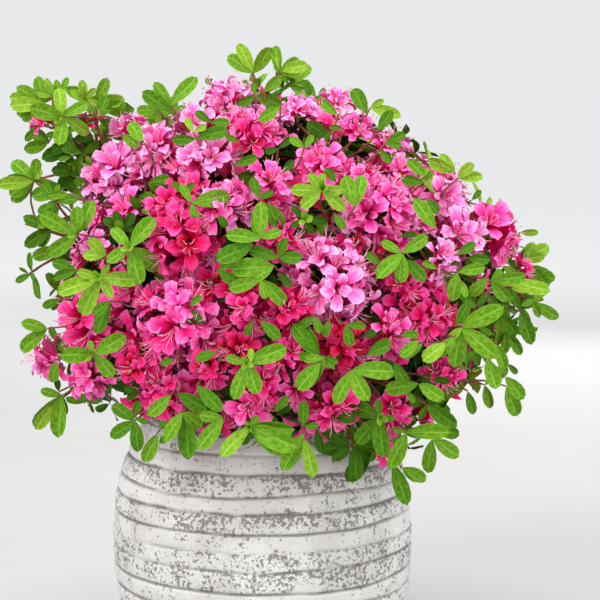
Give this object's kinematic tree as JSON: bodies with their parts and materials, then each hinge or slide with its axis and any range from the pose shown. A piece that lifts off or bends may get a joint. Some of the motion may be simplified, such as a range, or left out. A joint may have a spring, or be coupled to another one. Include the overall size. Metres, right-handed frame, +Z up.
{
  "type": "potted azalea shrub",
  "caption": "Rounded azalea shrub in full pink bloom, with leafy sprigs standing out of its crown, in a round ringed cement pot filled with soil.",
  "frame": {"origin": "middle of the pot's flat underside", "axes": "+Z up, front of the plant towards -Y, its right as seen from the front towards +X"},
  "size_m": [0.5318, 0.4114, 0.569],
  "materials": {
    "pot": "weathered pale grey cement, pitted, matt",
    "soil": "dark damp potting compost",
    "bark": "thin brown bark, matt",
    "foliage": "fresh green leaves, satin",
    "blossom_light": "light pink petals, soft",
    "blossom_mid": "mid pink petals, soft",
    "blossom_deep": "deep pink petals, soft"
  },
  "bodies": {
    "root": {"pot": "pot", "soil": "soil", "trunk": "bark", "bough_front_high": "bark", "bough_left_high": "bark", "bough_sprig_top": "bark", "bough_right_high": "bark", "bough_back_right": "bark", "bough_back_high_right": "bark", "bough_back_high_left": "bark", "bough_back_left": "bark", "bough_front": "bark", "bough_front_right": "bark", "bough_front_left": "bark", "bough_front_left_low": "bark", "bough_front_low": "bark", "bough_low_right": "bark", "bough_low_left": "bark", "bough_left": "bark", "bough_left_side": "bark", "bough_left_side_low": "bark", "bough_sprig_left": "bark", "bough_top_left": "bark", "bough_top_right": "bark", "bough_right": "bark", "bough_sprig_right": "bark", "bough_hanging_right": "bark", "bough_back_right_low": "bark", "bough_back_low_right": "bark", "bough_back_low_left": "bark", "bough_back_left_low": "bark", "mass_front": "blossom_light", "mass_front_right": "blossom_mid", "mass_front_left": "blossom_deep", "mass_front_left_low": "blossom_mid", "mass_front_high": "blossom_mid", "mass_front_low": "blossom_deep", "mass_low_right": "blossom_deep", "mass_low_left": "blossom_mid", "mass_left": "blossom_mid", "mass_left_high": "blossom_light", "mass_left_side": "foliage", "mass_left_side_low": "foliage", "mass_sprig_left": "foliage", "mass_top_left": "blossom_light", "mass_top_right": "blossom_mid", "mass_sprig_top": "foliage", "mass_right_high": "blossom_light", "mass_right": "foliage", "mass_sprig_right": "foliage", "mass_hanging_right": "foliage", "mass_back_right_low": "blossom_mid", "mass_back_low_right": "blossom_light", "mass_back_low_left": "blossom_deep", "mass_back_left_low": "blossom_mid", "mass_back_right": "blossom_light", "mass_back_high_right": "blossom_deep", "mass_back_high_left": "blossom_mid", "mass_back_left": "blossom_light"}
  },
  "joints": []
}
